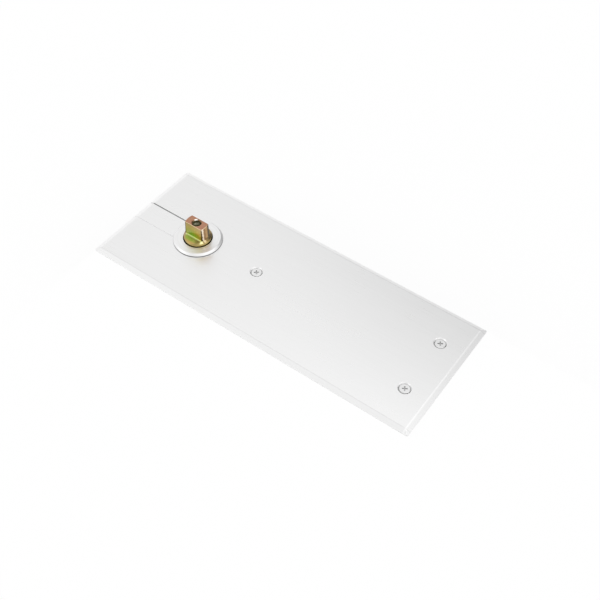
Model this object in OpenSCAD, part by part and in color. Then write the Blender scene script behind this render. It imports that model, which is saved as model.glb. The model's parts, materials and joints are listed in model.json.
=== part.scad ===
// Floor spring door closer: a hydraulic closer in its cement box, under a bevelled cover plate.
// The origin is on the spindle's axis, at the underside of the cement box. +X points to the
// cover's near end, beside the spindle, and +Z points up. Lengths are in millimetres.
// The spindle turns a heart-shaped cam between two rollers. The rollers sit in a slide, and the
// slide pushes the piston against the main spring as the door opens.

/* [Cover plate] */
// Length of the cover plate
cover_l = 302; // [290:1:330]
// Width of the cover plate
cover_w = 118; // [114:1:130]
// Thickness of the cover plate
cover_t = 2.5; // [2.2:0.1:4]
// Width of the bevel round the cover, seen from above
bevel_w = 4; // [2:0.5:6]
// Height of the straight edge under the bevel
edge_h = 0.5; // [0.3:0.1:1]
// Radius of the cover's corners
cover_corner_r = 1.5; // [0.5:0.5:4]
// Distance from the cover's near end to the spindle's axis
spindle_setback = 61.5; // [60:0.5:70]
// Diameter of the hole in the cover round the spindle
cover_hole_d = 36; // [34:0.5:38]
// Width of the slot that lets the cover be lifted past the spindle
slot_w = 21; // [18:0.5:24]
// Thickness of the tongue under the slot's filler strip
tongue_t = 1.2; // [0.8:0.1:1.4]
// How far the tongue reaches under the cover on each side of the slot
tongue_lap = 6; // [3:0.5:9]

/* [Spindle ring] */
// Outer diameter of the ring round the spindle
ring_d = 41; // [39:0.5:46]
// Height of the ring above the cover
ring_h = 2.5; // [1.5:0.1:3]
// Share of the ring's height that its chamfer takes
ring_chamfer_share = 0.6; // [0.4:0.05:0.75]
// Share of the ring's height that the bevel at its foot takes
ring_foot_share = 0.12; // [0.05:0.01:0.2]
// Depth of the ring's spigot below the cover's top
spigot_depth = 3.6; // [2.5:0.1:4.2]

/* [Cover screws] */
// Diameter of the low heads
screw_head_d = 8.4; // [7.6:0.1:9]
// Height of the low heads
screw_head_h = 1.3; // [1:0.1:1.5]
// Chamfer round the heads
screw_head_edge = 0.25; // [0.1:0.05:0.4]
// Depth of the cross recess
cross_depth = 0.8; // [0.5:0.1:0.9]
// Thread diameter of the cover screws
screw_d = 5; // [4:0.5:6]
// Length of the cover screws under the head
screw_l = 9; // [8:0.5:12]
// Distance between the two far screws
far_screw_spacing = 51.6; // [46:0.2:60]
// Distance from the cover's far end to the far screws
far_screw_inset = 22.8; // [20:0.2:25]
// Distance from the spindle's axis to the middle screw
middle_screw_reach = 61.1; // [60:0.1:75]
// Thickness of the cover under a screw's head
screw_seat_t = 0.6; // [0.4:0.1:0.8]
// Width of the dish round a screw's head at the cover's top
dish_d = 10.6; // [10:0.1:12]

/* [Spindle] */
// Diameter of the spindle's head in the ring
head_d = 23.4; // [22.8:0.1:25.8]
// Height of the head's rim above the cover's underside
rim_rise = 7.5; // [6:0.1:7.8]
// Chamfer round the head's rim
rim_chamfer = 0.4; // [0.2:0.1:1]
// Height of the tang's root above the cover's underside
tang_root_rise = 8.8; // [8.2:0.1:10]
// Height of the tang's top above the cover's underside
tang_top_rise = 21.7; // [18:0.1:28]
// Length of the tang across its ends, at its root
tang_root_l = 19.4; // [17:0.1:20]
// Length of the tang across its ends, at its top
tang_top_l = 18.6; // [16:0.1:19.4]
// Radius of the tang's rounded ends
tang_end_r = 16; // [10:0.5:40]
// How far the tang's corners reach beyond the middle of its ends
tang_corner = 0.35; // [0.2:0.05:0.6]
// Thickness of the tang at its root
tang_root_w = 10; // [9.4:0.1:11]
// Thickness of the tang at its top
tang_top_w = 9.1; // [8.8:0.1:9.4]
// Chamfer round the tang's top
tang_edge = 0.3; // [0.2:0.1:1]
// Core diameter of the arm screw's thread in the tang
arm_hole_d = 6.8; // [5:0.1:7]
// Depth of the arm screw's hole
arm_hole_depth = 20; // [16:1:24]
// Width of the countersink round the arm screw's hole
arm_sink_d = 8.6; // [7.2:0.1:8.8]
// Diameter of the shaft through the cam and the lower bearing
shaft_d = 17; // [15:0.5:18]
// Chamfer at the shaft's foot
shaft_chamfer = 0.8; // [0.4:0.1:1.2]

/* [Cement box] */
// Depth of the cement box
box_depth = 58; // [57:0.5:70]
// Thickness of the cement box's sheet
box_sheet = 1.5; // [1:0.1:2]
// How far the cover reaches past the box on every side
cover_lap = 6; // [5:0.5:7]
// Outer radius of the box's upright corners
box_corner_r = 5; // [3:0.5:9]
// Width of each mortar claw
claw_w = 12; // [8:1:18]
// Reach of each mortar claw outside the box
claw_reach = 4.5; // [3:0.5:5]
// Height of the window that each claw is bent out of
claw_window = 12; // [8:1:16]
// Height of the claws above the box's underside
claw_z = 22; // [14:1:30]
// Distance from the box's ends to the claws on its sides
claw_inset = 62; // [50:1:80]
// Diameter of the anchor holes in the box's floor
anchor_d = 6; // [4:0.5:6.5]
// Distance from the spindle's axis to the near anchor holes
anchor_reach = 12; // [8:1:18]
// Distance from the box's far end to the far anchor holes
anchor_far_inset = 19.5; // [14:0.5:21]
// Distance from the box's sides to the anchor holes
anchor_side_inset = 7; // [6:0.5:9]
// Width of the brackets under the far cover screws
bracket_w = 18; // [14:1:24]
// Thickness of the brackets
bracket_t = 1.5; // [1:0.1:2.5]
// Height of the bracket's upright leg
bracket_leg = 18; // [12:1:26]
// How far the bracket reaches past the screw's axis
bracket_lap = 8; // [6:0.5:12]
// Width across the flats of the bracket's weld nut
nut_flats = 8; // [7.5:0.1:10]
// Thickness of the weld nut
nut_t = 4; // [3:0.1:5]

/* [Housing] */
// Width of the housing
housing_w = 82; // [80:0.5:84]
// Gap between the box's floor and the housing, set by the levelling screws
level_gap = 3; // [2:0.5:4]
// Gap between the housing's top and the cover
top_gap = 6; // [5:0.5:7]
// Thickness of the wall at the housing's near end
nose_wall = 4; // [3.5:0.5:5]
// Thickness of the walls beside the cam chamber
side_wall = 10.6; // [9:0.1:12]
// Thickness of the housing's floor
floor_t = 5.5; // [4:0.5:6.5]
// Radius of the housing's corners
housing_corner_r = 9; // [5:0.5:12]
// Radius of the cam chamber's corners
chamber_corner_r = 5; // [3:0.5:8]
// Wall round the seat of the lower bearing
lower_seat_wall = 3.5; // [3:0.5:5]
// Room in the box beyond the housing, for a hand tool on the end cap
far_room = 32.5; // [28:0.5:40]
// Thickness of the flange between the cam end and the tube
flange_t = 6; // [4:0.5:9]
// Length of the end block
end_block_l = 32; // [28:1:36]
// Radius of the end block's corners
block_corner_r = 4; // [2:0.5:8]
// Wall round the cylinder's bore
tube_wall = 6; // [5:0.5:6]
// Thickness of the foot along the tube
foot_t = 8; // [6:0.5:10]
// Diameter of the boss under the middle cover screw
boss_d = 13; // [11:0.5:16]
// Radius of the ears that hold the levelling screws
ear_r = 5; // [4.5:0.5:5]
// Gap between the ears and the box's sides
ear_gap = 1.1; // [0.8:0.1:2]
// Height of the ears
ear_h = 12; // [8:1:16]
// Distance from the spindle's axis to the near ears
near_ear_reach = 32; // [28:1:36]
// Diameter of the levelling screws
level_screw_d = 6; // [5:0.5:6]
// Length of the levelling screws
level_screw_l = 18; // [16:1:22]
// Depth of the hexagon sockets in the levelling screws
level_socket_l = 4; // [2:0.5:6]

/* [Holding studs] */
// Diameter of the studs that hold the housing in the box
stud_d = 6; // [5:0.5:8]
// Length of the studs above the box's floor
stud_l = 21; // [19:1:26]
// Distance of the studs from the middle line
stud_y = 33; // [32:0.5:34]
// Metal of the foot outside the stud washers
foot_rim = 1; // [0.5:0.5:3]
// Length of the slots in the foot for the studs
stud_slot_l = 14; // [10:1:20]
// Width across the flats of the stud nuts
stud_nut_flats = 10; // [9:0.5:11]
// Thickness of the stud nuts
stud_nut_t = 5; // [4:0.5:6]
// Diameter of the stud washers
washer_d = 13; // [12:0.5:14]
// Thickness of the stud washers
washer_t = 1.6; // [1:0.1:2]

/* [Lid] */
// Thickness of the lid over the cam chamber
lid_t = 5.5; // [4.5:0.5:6]
// Thickness of the lid's gasket
gasket_t = 0.5; // [0.3:0.1:0.8]
// Width of the lid's seat behind the cam chamber
lid_seat = 8; // [6:0.5:10]
// Diameter of the lid's collar round the spindle
collar_d = 50; // [48:0.5:52]
// Gap between the collar and the cover
collar_gap = 2.5; // [2.4:0.1:4]
// Diameter of the lid screws
lid_screw_d = 5; // [4:0.5:6]
// Length of the lid screws under the head
lid_screw_l = 16; // [12:1:20]
// Distance of the lid screws from the housing's sides
lid_screw_inset = 5.5; // [5:0.1:6]
// Distance of the end lid screws from the lid's ends
lid_screw_end = 8; // [6:0.5:12]
// Number of lid screws along each side
lid_screw_count = 4; // [3:1:5]
// Height of the lid screws' heads
lid_head_h = 3.6; // [3:0.1:5]
// How deep the lid screws' heads sit in the lid
lid_head_sink = 3; // [2:0.1:3.4]
// Outer diameter of the spindle's seal
seal_d = 38; // [36:0.5:39]
// Height of the spindle's seal
seal_h = 4.5; // [3.5:0.1:4.8]
// Width of the shelf between the upper bearing and the seal
seal_shelf_w = 3; // [2:0.5:4]
// Diameter of the oil plug's thread
oil_plug_d = 8; // [6:0.5:10]
// Distance from the spindle's axis to the oil plug, along the housing
oil_plug_reach = 36; // [34:0.5:38]
// Distance of the oil plug from the middle line
oil_plug_y = 18; // [10:0.5:20]
// Height of the oil plug's head
oil_head_h = 2.4; // [1.5:0.1:4]

/* [Cam and slide] */
// Distance from the spindle's axis to the near roller's axis with the door closed
cam_base = 19; // [18:0.5:20]
// Travel of the slide for each radian that the spindle turns
cam_rise = 5.5; // [4.5:0.1:5.6]
// Thickness of the cam
cam_t = 10; // [8:0.5:11]
// Angle that the door opens to, in degrees
open_angle = 120; // [90:5:130]
// Diameter of the rollers
roller_d = 14; // [12:0.5:15]
// Diameter of the roller pins
roller_pin_d = 6; // [5:0.5:7]
// Thickness of the two slide plates
slide_t = 3; // [2:0.5:3.5]
// Radius of the slide plates' corners
slide_corner_r = 6; // [3:0.5:9]
// Metal left round each roller at the ends of the slide plates
slide_rim = 3.5; // [3:0.5:4]
// Width of the slide's tail in the cylinder
tail_w = 24; // [20:0.5:26]
// Length of the slide's tail
tail_l = 13; // [12:0.5:15]
// Diameter of the pin between the slide and the piston
piston_pin_d = 7; // [6:0.5:8]
// Width and height of the key between the spindle and the cam
key_w = 5; // [4:0.5:5.5]
// Outer diameter of the spacers on the shaft
spacer_d = 22; // [21.5:0.5:24]

/* [Cylinder] */
// Diameter of the cylinder's bore
bore_d = 34; // [32:0.5:34]
// Length of the piston
piston_l = 40; // [36:1:46]
// Depth of the spring's pocket in the piston
pocket_depth = 22; // [16:1:24]
// Width of each piston ring
piston_ring_w = 2.2; // [1.6:0.1:3]
// Radial depth of each piston ring
piston_ring_t = 2; // [1.4:0.1:2.4]
// Number of piston rings
piston_ring_count = 2; // [1:1:3]
// Distance between the piston rings
piston_ring_pitch = 6; // [5:0.5:7]
// Distance from the piston's front to the first ring
piston_ring_inset = 4; // [3:0.5:6]
// Width of the lug on the piston's front
lug_w = 14; // [12:0.5:16]
// Wire thickness of the main spring
spring_wire = 5; // [4:0.5:5.5]
// Outer diameter of the main spring
spring_d = 28; // [26:0.5:28.5]
// Number of open turns in the main spring
spring_turns = 12; // [9:1:13]
// Diameter of the end cap
cap_d = 38; // [36.5:0.5:39]
// Length of the end cap in the end block
cap_l = 14; // [12:0.5:16]
// Length of the end cap's spigot in the bore
cap_spigot_l = 6; // [5:0.5:8]
// Width across the flats of the end cap's hexagon
cap_flats = 24; // [20:0.5:30]
// Height of the end cap's hexagon
cap_hex_h = 5; // [4:0.5:7]
// Distance from the end cap's shoulder to its seal's groove
cap_groove_inset = 3; // [2:0.5:5]
// Width of the groove for the end cap's seal
cap_groove_w = 3; // [2:0.5:4]
// Depth of the groove for the end cap's seal
cap_groove_depth = 2; // [1:0.1:2.5]
// Diameter of the check valve's ball
check_ball_d = 5.5; // [4.5:0.1:6]
// How far the check valve's ball lifts
check_lift = 0.8; // [0.5:0.1:1.2]
// Metal between the check valve and the piston's skin
check_wall = 2; // [1.5:0.1:3]

/* [Speed valves] */
// Thread diameter of the speed valves
valve_d = 8; // [7:0.5:9]
// Diameter of the speed valves' heads
valve_head_d = 12; // [10:0.5:14]
// Height of the speed valves' heads
valve_head_h = 3; // [2:0.5:4]
// Diameter of the oil galleries
gallery_d = 3; // [2:0.5:4]
// Diameter of the rib round each oil gallery
gallery_rib_d = 9; // [8:0.5:11]
// Distance of the oil galleries from the middle line
gallery_y = 24.5; // [24:0.5:26]
// Distance from the end block's near side to the valves
valve_inset = 10; // [8:0.5:12]
// How far the gallery that joins the valves lies below the cylinder's axis
cross_drop = 7.5; // [6:0.5:9]
// Width of the slots in the valves' heads
valve_slot_w = 1.2; // [0.8:0.1:1.6]
// Depth of the slots in the valves' heads
valve_slot_depth = 1.4; // [0.8:0.1:2]
// Width of the valves' seal rings
valve_ring_w = 1.6; // [1:0.1:2.4]
// Radial depth of the valves' seal rings
valve_ring_t = 1; // [0.6:0.1:1.5]
// Depth of the valves' seal rings below the housing's top
valve_ring_depth = 4.3; // [3:0.1:6]
// Diameter of the plugs that close the galleries
plug_d = 6; // [5:0.5:7]
// Depth of the seats for the gallery plugs
plug_seat_l = 8; // [6:0.5:10]
// Width across the flats of the sockets in the gallery plugs
plug_flats = 2.5; // [2:0.5:3]

/* [Bearings] */
// Bore of the upper bearing
upper_bore_d = 20; // [19:0.5:21]
// Outer diameter of the upper bearing
upper_outer_d = 42; // [40:0.5:43]
// Width of the upper bearing
upper_w = 12; // [10:0.5:12]
// Ball diameter of the upper bearing
upper_ball_d = 6.5; // [5.5:0.1:7]
// Number of balls in the upper bearing
upper_ball_count = 9; // [7:1:10]
// Outer diameter of the lower bearing
lower_outer_d = 35; // [33:0.5:36]
// Width of the lower bearing
lower_w = 10; // [9:0.5:10.5]
// Ball diameter of the lower bearing
lower_ball_d = 5.5; // [4.5:0.1:6]
// Number of balls in the lower bearing
lower_ball_count = 9; // [7:1:10]

/* [Clearances] */
// Gap round a piece that is pressed or screwed in place
fit_gap = 0.02; // [0.01:0.01:0.05]
// Radial gap of a piece that turns or slides
run_gap = 0.06; // [0.03:0.01:0.1]
// Gap between the cam and the rollers
cam_gap = 0.12; // [0.08:0.01:0.2]
// Gap between flat faces that slide past each other
side_gap = 0.4; // [0.2:0.05:0.5]
// Gap between pieces that only stand beside each other
loose_gap = 0.7; // [0.5:0.1:1]
// Radial gap round a screw in a plain hole
hole_gap = 0.25; // [0.1:0.05:0.4]
// Gap on the tight side of the cover's filler strip
filler_gap = 0.08; // [0.05:0.01:0.15]
// Gap on the filler strip's other side, which shows as a line
filler_open_gap = 0.4; // [0.1:0.05:0.6]

/* [Hidden] */
$fn = 96;

// How far a cut reaches past the face that it opens, and how far joined shapes run into each other
cut = 1;

// Heights, from the box's underside up to the cover
cover_z = box_depth;
cover_top = cover_z + cover_t;
screw_seat_z = cover_z + screw_seat_t;
housing_z0 = box_sheet + level_gap;
housing_top = cover_z - top_gap;
lid_z = housing_top - lid_t;
rim_z = lid_z - gasket_t;
lower_seat_t = floor_t - 2.5;
lower_z = housing_z0 + lower_seat_t;
lower_top = lower_z + lower_w;
seal_shelf_t = 0.9;
shelf_z = housing_top - lid_t + lid_head_sink;
upper_z = shelf_z - upper_w;
drive_z = (lower_top + upper_z) / 2;
cam_z = drive_z - cam_t / 2;
cam_top = drive_z + cam_t / 2;
slide_inner = cam_t / 2 + side_gap;
slide_outer = slide_inner + slide_t;
seal_z = shelf_z + seal_shelf_t;
collar_top = cover_z - collar_gap;
rim_top = cover_z + rim_rise;
tang_root = cover_z + tang_root_rise;
tang_top = cover_z + tang_top_rise;

// Places along the object, from the near end at +X to the far end
cover_near = spindle_setback;
cover_far = spindle_setback - cover_l;
box_near = cover_near - cover_lap;
box_far = cover_far + cover_lap;
box_w = cover_w - 2 * cover_lap;
box_in_far = box_far + box_sheet;
box_in_w = box_w - 2 * box_sheet;
roller_r = roller_d / 2;
cam_far = cam_base + cam_rise * PI;
travel = cam_rise * PI * open_angle / 180;
slide_near = cam_far + roller_r + slide_rim;
slide_back = -(cam_base + roller_r + slide_rim);
tail_x = slide_back - tail_l;
piston_pin_x = tail_x + piston_pin_d;
chamber_near = slide_near + loose_gap;
chamber_back = slide_back - travel - loose_gap;
chamber_w = housing_w - 2 * side_wall;
slide_w = chamber_w - 2 * side_gap;
housing_near = chamber_near + nose_wall;
lid_back = chamber_back - lid_seat;
tube_x = lid_back - loose_gap;
housing_far = box_in_far + far_room;
block_x = housing_far + end_block_l;
tube_l = tube_x - block_x;
piston_x = tail_x - loose_gap;
piston_back = piston_x - piston_l;
pocket_x = piston_back + pocket_depth;
pocket_d = spring_d + 2 * loose_gap;
cap_x = housing_far + cap_l;
cap_face = cap_x + cap_spigot_l / 2;
valve_x = block_x - valve_inset;
ear_xs = [near_ear_reach, housing_far + end_block_l / 2];
ear_y = box_in_w / 2 - ear_gap - ear_r;
stud_x = tube_x - tube_l / 2;
far_screw_x = cover_far + far_screw_inset;
anchor_far_x = box_far + anchor_far_inset;
anchor_y = box_w / 2 - anchor_side_inset;

// Steel, brass and rubber tones
satin = [0.93, 0.93, 0.92];
zinc = [0.78, 0.79, 0.80];
chromate = [0.72, 0.56, 0.30];
iron = [0.36, 0.38, 0.40];
sheet_steel = [0.62, 0.64, 0.66];
bright = [0.80, 0.81, 0.83];
dark_steel = [0.30, 0.31, 0.33];
rubber = [0.10, 0.10, 0.11];
bronze = [0.70, 0.52, 0.28];

// ---- shared shapes ----

// Outline of a block between two places along X, centred on the middle line, with round corners
module rounded_outline(x0, x1, w, r) {
    translate([x0 + r, -w / 2]) square([x1 - x0 - 2 * r, w]);
    translate([x0, r - w / 2]) square([x1 - x0, w - 2 * r]);
    for (x = [x0 + r, x1 - r])
        for (y = [r - w / 2, w / 2 - r])
            translate([x, y]) circle(r = r);
}

module rounded_block(x0, x1, w, z0, z1, r) {
    translate([0, 0, z0]) linear_extrude(z1 - z0) rounded_outline(x0, x1, w, r);
}

// A round bar along the cylinder's axis, between two places along X
module bar_x(x0, x1, d) {
    translate([x0, 0, drive_z]) rotate([0, 90, 0]) cylinder(h = x1 - x0, d = d);
}

module ring_x(x0, x1, d_out, d_in) {
    difference() {
        bar_x(x0, x1, d_out);
        bar_x(x0 - cut, x1 + cut, d_in);
    }
}

module washer_shape(d_out, d_in, z0, z1) {
    translate([0, 0, z0]) difference() {
        cylinder(h = z1 - z0, d = d_out);
        translate([0, 0, -cut]) cylinder(h = z1 - z0 + 2 * cut, d = d_in);
    }
}

// A hexagon prism with the given width across its flats
module hexagon(flats, h) {
    cylinder(h = h, d = flats / cos(30), $fn = 6);
}

// A nut standing on z = 0
module hexagon_nut(flats, h, d_in) {
    difference() {
        hexagon(flats, h);
        translate([0, 0, -cut]) cylinder(h = h + 2 * cut, d = d_in);
    }
}

// ---- cover ----

// The cover's whole outline with its bevelled edge, before anything is cut from it
module cover_blank() {
    middle_x = (cover_near + cover_far) / 2;
    intersection() {
        translate([middle_x, cover_w / 2, 0]) rotate([90, 0, 0])
            linear_extrude(cover_w) bevel_section(cover_l);
        translate([cover_far, 0, 0]) rotate([90, 0, 90])
            linear_extrude(cover_l) bevel_section(cover_w);
        rounded_block(cover_far, cover_near, cover_w, cover_z, cover_top, cover_corner_r);
    }
}

// Section through the cover: a straight edge, then the bevel up to the flat top
module bevel_section(w) {
    polygon([
        [-w / 2, cover_z], [w / 2, cover_z], [w / 2, cover_z + edge_h],
        [w / 2 - bevel_w, cover_top], [bevel_w - w / 2, cover_top], [-w / 2, cover_z + edge_h]
    ]);
}

module cover_plate() color(satin) difference() {
    cover_blank();
    translate([0, 0, cover_z - cut]) cylinder(h = cover_t + 2 * cut, d = cover_hole_d);
    translate([0, -slot_w / 2, cover_z - cut]) cube([cover_near + cut, slot_w, cover_t + 2 * cut]);
    cover_screw_places() {
        translate([0, 0, cover_z - cut]) cylinder(h = cover_t + 2 * cut, d = screw_d + 2 * hole_gap);
        screw_dish();
    }
}

// The room for a screw's head in the cover: straight round the head, then a cone up to the top
module screw_dish() {
    pocket_r = screw_head_d / 2 + hole_gap;
    straight_share = 0.4;
    cone_z = screw_seat_z + (cover_top - screw_seat_z) * straight_share;
    rotate_extrude() polygon([
        [0, screw_seat_z], [pocket_r, screw_seat_z], [pocket_r, cone_z],
        [dish_d / 2, cover_top], [dish_d / 2, cover_top + cut], [0, cover_top + cut]
    ]);
}

module cover_screw_places() {
    translate([-middle_screw_reach, 0, 0]) children();
    far_screw_places() children();
}

module far_screw_places() {
    for (side = [-1, 1]) translate([far_screw_x, side * far_screw_spacing / 2, 0]) children();
}

// The strip that fills the slot, on a tongue that lies under the cover
module cover_filler() color(satin) difference() {
    strip_y = filler_open_gap - slot_w / 2;
    strip_w = slot_w - filler_open_gap - filler_gap;
    tongue_w = slot_w + 2 * tongue_lap;
    tongue_l = box_near - box_sheet - loose_gap;
    union() {
        intersection() {
            cover_blank();
            translate([0, strip_y, cover_z - cut])
                cube([cover_near + cut, strip_w, cover_t + 2 * cut]);
        }
        translate([0, strip_y, cover_z - tongue_t]) cube([tongue_l, strip_w, tongue_t + edge_h]);
        translate([0, -tongue_w / 2, cover_z - tongue_t]) cube([tongue_l, tongue_w, tongue_t]);
    }
    translate([0, 0, cover_z - tongue_t - cut]) cylinder(h = cover_t + tongue_t + 2 * cut, d = cover_hole_d);
}

module spindle_ring() color(bright) {
    r_out = ring_d / 2;
    r_in = head_d / 2 + loose_gap;
    r_spigot = cover_hole_d / 2 - loose_gap / 2;
    top = cover_top + ring_h;
    chamfer = ring_h * ring_chamfer_share;
    foot = ring_h * ring_foot_share;
    rotate_extrude() polygon([
        [r_in, cover_top - spigot_depth], [r_spigot, cover_top - spigot_depth], [r_spigot, cover_top],
        [r_out - foot, cover_top], [r_out, cover_top + foot],
        [r_out, top - chamfer], [r_out - chamfer, top], [r_in, top]
    ]);
}

// A low head with a cross recess, standing on z = 0, and its shank below
module low_head_screw() {
    arm_w = screw_head_d / 9;
    arm_l = screw_head_d * 0.5;
    edge_z = screw_head_h - screw_head_edge;
    difference() {
        union() {
            cylinder(h = edge_z, d = screw_head_d);
            translate([0, 0, edge_z]) cylinder(
                h = screw_head_edge, d1 = screw_head_d, d2 = screw_head_d - 2 * screw_head_edge);
            translate([0, 0, -screw_l]) cylinder(h = screw_l + edge_z, d = screw_d);
        }
        for (turn = [0, 90]) rotate([0, 0, turn])
            translate([-arm_l / 2, -arm_w / 2, screw_head_h - cross_depth])
                cube([arm_l, arm_w, cross_depth + cut]);
    }
}

module cover_screws() color(zinc) {
    middle_turn = 40;
    far_turn = 30;
    translate([-middle_screw_reach, 0, screw_seat_z]) rotate([0, 0, middle_turn]) low_head_screw();
    far_screw_places() translate([0, 0, screw_seat_z]) rotate([0, 0, far_turn]) low_head_screw();
}

// ---- cement box ----

module claw_places() {
    for (x = [box_near - claw_inset, box_far + claw_inset])
        for (side = [-1, 1])
            translate([x, side * box_w / 2, claw_z]) rotate([0, 0, side > 0 ? 90 : -90]) children();
    translate([box_far, 0, claw_z]) rotate([0, 0, 180]) children();
    translate([box_near, 0, claw_z]) children();
}

module cement_box() color(sheet_steel) {
    difference() {
        rounded_block(box_far, box_near, box_w, 0, cover_z, box_corner_r);
        rounded_block(box_in_far, box_near - box_sheet, box_in_w, box_sheet, cover_z + cut,
            box_corner_r - box_sheet);
        claw_places() translate([-box_sheet - cut, -claw_w / 2, 0])
            cube([box_sheet + 2 * cut, claw_w, claw_window]);
        anchor_places() translate([0, 0, -cut]) cylinder(h = box_sheet + 2 * cut, d = anchor_d);
    }
    claw_places() translate([-box_sheet, -claw_w / 2, -box_sheet])
        cube([box_sheet + claw_reach, claw_w, box_sheet]);
}

module anchor_places() {
    for (x = [anchor_reach, anchor_far_x])
        for (side = [-1, 1])
            translate([x, side * anchor_y, 0]) children();
}

// Two angle brackets on the far wall, under the far cover screws
module cover_brackets() color(zinc) far_screw_places() {
    reach = far_screw_x - box_in_far;
    difference() {
        union() {
            translate([-reach, -bracket_w / 2, cover_z - bracket_leg])
                cube([bracket_t, bracket_w, bracket_leg]);
            translate([-reach, -bracket_w / 2, cover_z - bracket_t])
                cube([reach + bracket_lap, bracket_w, bracket_t]);
        }
        translate([0, 0, cover_z - bracket_t - cut])
            cylinder(h = bracket_t + 2 * cut, d = screw_d + 2 * hole_gap);
    }
}

module bracket_nuts() color(zinc) far_screw_places()
    translate([0, 0, cover_z - bracket_t - nut_t])
        hexagon_nut(nut_flats, nut_t, screw_d + 2 * fit_gap);

// ---- housing ----

module ear_places() {
    for (x = ear_xs)
        for (side = [-1, 1])
            translate([x, side * ear_y, 0]) children();
}

module valve_places() {
    for (side = [-1, 1]) translate([valve_x, side * gallery_y, 0]) children();
}

module stud_places() {
    for (side = [-1, 1]) translate([stud_x, side * stud_y, 0]) children();
}

// The casting's outer form: cam end, round tube with its foot and oil ribs, and end block
module housing_form() {
    tube_d = bore_d + 2 * tube_wall;
    foot_w = 2 * stud_y + washer_d + 2 * foot_rim;
    rounded_block(lid_back, housing_near, housing_w, housing_z0, rim_z, housing_corner_r);
    translate([tube_x - loose_gap, -housing_w / 2, housing_z0])
        cube([housing_corner_r + 2 * loose_gap, housing_w, rim_z - housing_z0]);
    translate([tube_x - flange_t, -housing_w / 2, housing_z0])
        cube([flange_t, housing_w, housing_top - housing_z0]);
    bar_x(block_x - cut, tube_x, tube_d);
    translate([block_x - cut, -foot_w / 2, housing_z0]) cube([tube_l + cut, foot_w, foot_t]);
    for (side = [-1, 1]) translate([0, side * gallery_y, 0])
        bar_x(block_x - cut, tube_x, gallery_rib_d);
    rounded_block(housing_far, block_x, housing_w, housing_z0, housing_top, block_corner_r);
    translate([-middle_screw_reach, 0, drive_z]) cylinder(h = cover_z - drive_z, d = boss_d);
    ear_places() translate([0, 0, housing_z0]) cylinder(h = ear_h, r = ear_r);
    for (x = ear_xs) translate([x - ear_r, -ear_y, housing_z0]) cube([2 * ear_r, 2 * ear_y, ear_h]);
}

module lid_screw_places() {
    first = housing_near - lid_screw_end;
    last = lid_back + lid_screw_end;
    for (i = [0 : lid_screw_count - 1])
        for (side = [-1, 1])
            translate([first + (last - first) * i / (lid_screw_count - 1),
                side * (housing_w / 2 - lid_screw_inset), 0]) children();
}

module housing() color(iron) difference() {
    union() {
        difference() {
            housing_form();
            chamber(housing_z0 + floor_t, rim_z + cut);
        }
        translate([0, 0, housing_z0])
            cylinder(h = lower_top - housing_z0, d = lower_outer_d + 2 * lower_seat_wall);
    }
    translate([0, 0, lower_z]) cylinder(h = lower_w + cut, d = lower_outer_d + 2 * fit_gap);
    bar_x(housing_far - cut, chamber_back + cut, bore_d);
    bar_x(housing_far - cut, cap_x, cap_d + 2 * fit_gap);
    for (side = [-1, 1]) translate([0, side * gallery_y, 0]) {
        bar_x(housing_far - cut, chamber_back + cut, gallery_d);
        bar_x(housing_far - cut, housing_far + plug_seat_l, plug_d);
    }
    valve_places() {
        translate([0, 0, drive_z]) cylinder(h = housing_top, d = valve_d + 2 * run_gap);
        translate([0, 0, drive_z - cross_drop - gallery_d / 2])
            cylinder(h = cross_drop + gallery_d, d = gallery_d);
    }
    translate([valve_x, 0, drive_z - cross_drop]) rotate([90, 0, 0])
        cylinder(h = 2 * gallery_y, d = gallery_d, center = true);
    translate([-middle_screw_reach, 0, cover_z - screw_l - loose_gap])
        cylinder(h = screw_l + 2 * cut, d = screw_d + 2 * fit_gap);
    lid_screw_places() translate([0, 0, rim_z - lid_screw_l + lid_t])
        cylinder(h = lid_screw_l, d = lid_screw_d + 2 * fit_gap);
    ear_places() translate([0, 0, housing_z0 - cut])
        cylinder(h = level_screw_l + cut, d = level_screw_d + 2 * fit_gap);
    stud_places() translate([-stud_slot_l / 2 + stud_d / 2, 0, housing_z0 - cut]) stud_slot();
}

// The cam chamber's hollow, from one height to another
module chamber(z0, z1) {
    rounded_block(chamber_back, chamber_near, chamber_w, z0, z1, chamber_corner_r);
}

// A slot along the tube, so that the housing can be set along the box before it is held
module stud_slot() {
    length = stud_slot_l - stud_d;
    slot_d = stud_d + 4 * hole_gap;
    translate([0, -slot_d / 2, 0]) cube([length, slot_d, foot_t + 2 * cut]);
    for (x = [0, length]) translate([x, 0, 0]) cylinder(h = foot_t + 2 * cut, d = slot_d);
}

module gallery_plugs() color(dark_steel) for (side = [-1, 1])
    translate([0, side * gallery_y, 0]) difference() {
        bar_x(housing_far + loose_gap, housing_far + plug_seat_l, plug_d - 2 * fit_gap);
        translate([housing_far, 0, drive_z]) rotate([0, 90, 0]) hexagon(plug_flats, plug_seat_l / 2);
    }

module levelling_screws() color(dark_steel) ear_places() translate([0, 0, box_sheet]) difference() {
    cylinder(h = level_screw_l, d = level_screw_d);
    translate([0, 0, level_screw_l - level_socket_l]) hexagon(level_screw_d / 2, level_socket_l + cut);
}

module holding_studs() color(zinc) stud_places()
    translate([0, 0, box_sheet]) cylinder(h = stud_l, d = stud_d);

module holding_washers() color(zinc) stud_places()
    washer_shape(washer_d, stud_d + 2 * hole_gap, housing_z0 + foot_t, housing_z0 + foot_t + washer_t);

module holding_nuts() color(zinc) stud_places()
    translate([0, 0, housing_z0 + foot_t + washer_t])
        hexagon_nut(stud_nut_flats, stud_nut_t, stud_d + 2 * fit_gap);

// ---- lid ----

module lid_outline_block(z0, z1) {
    rounded_block(lid_back, housing_near, housing_w, z0, z1, housing_corner_r);
}

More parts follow.
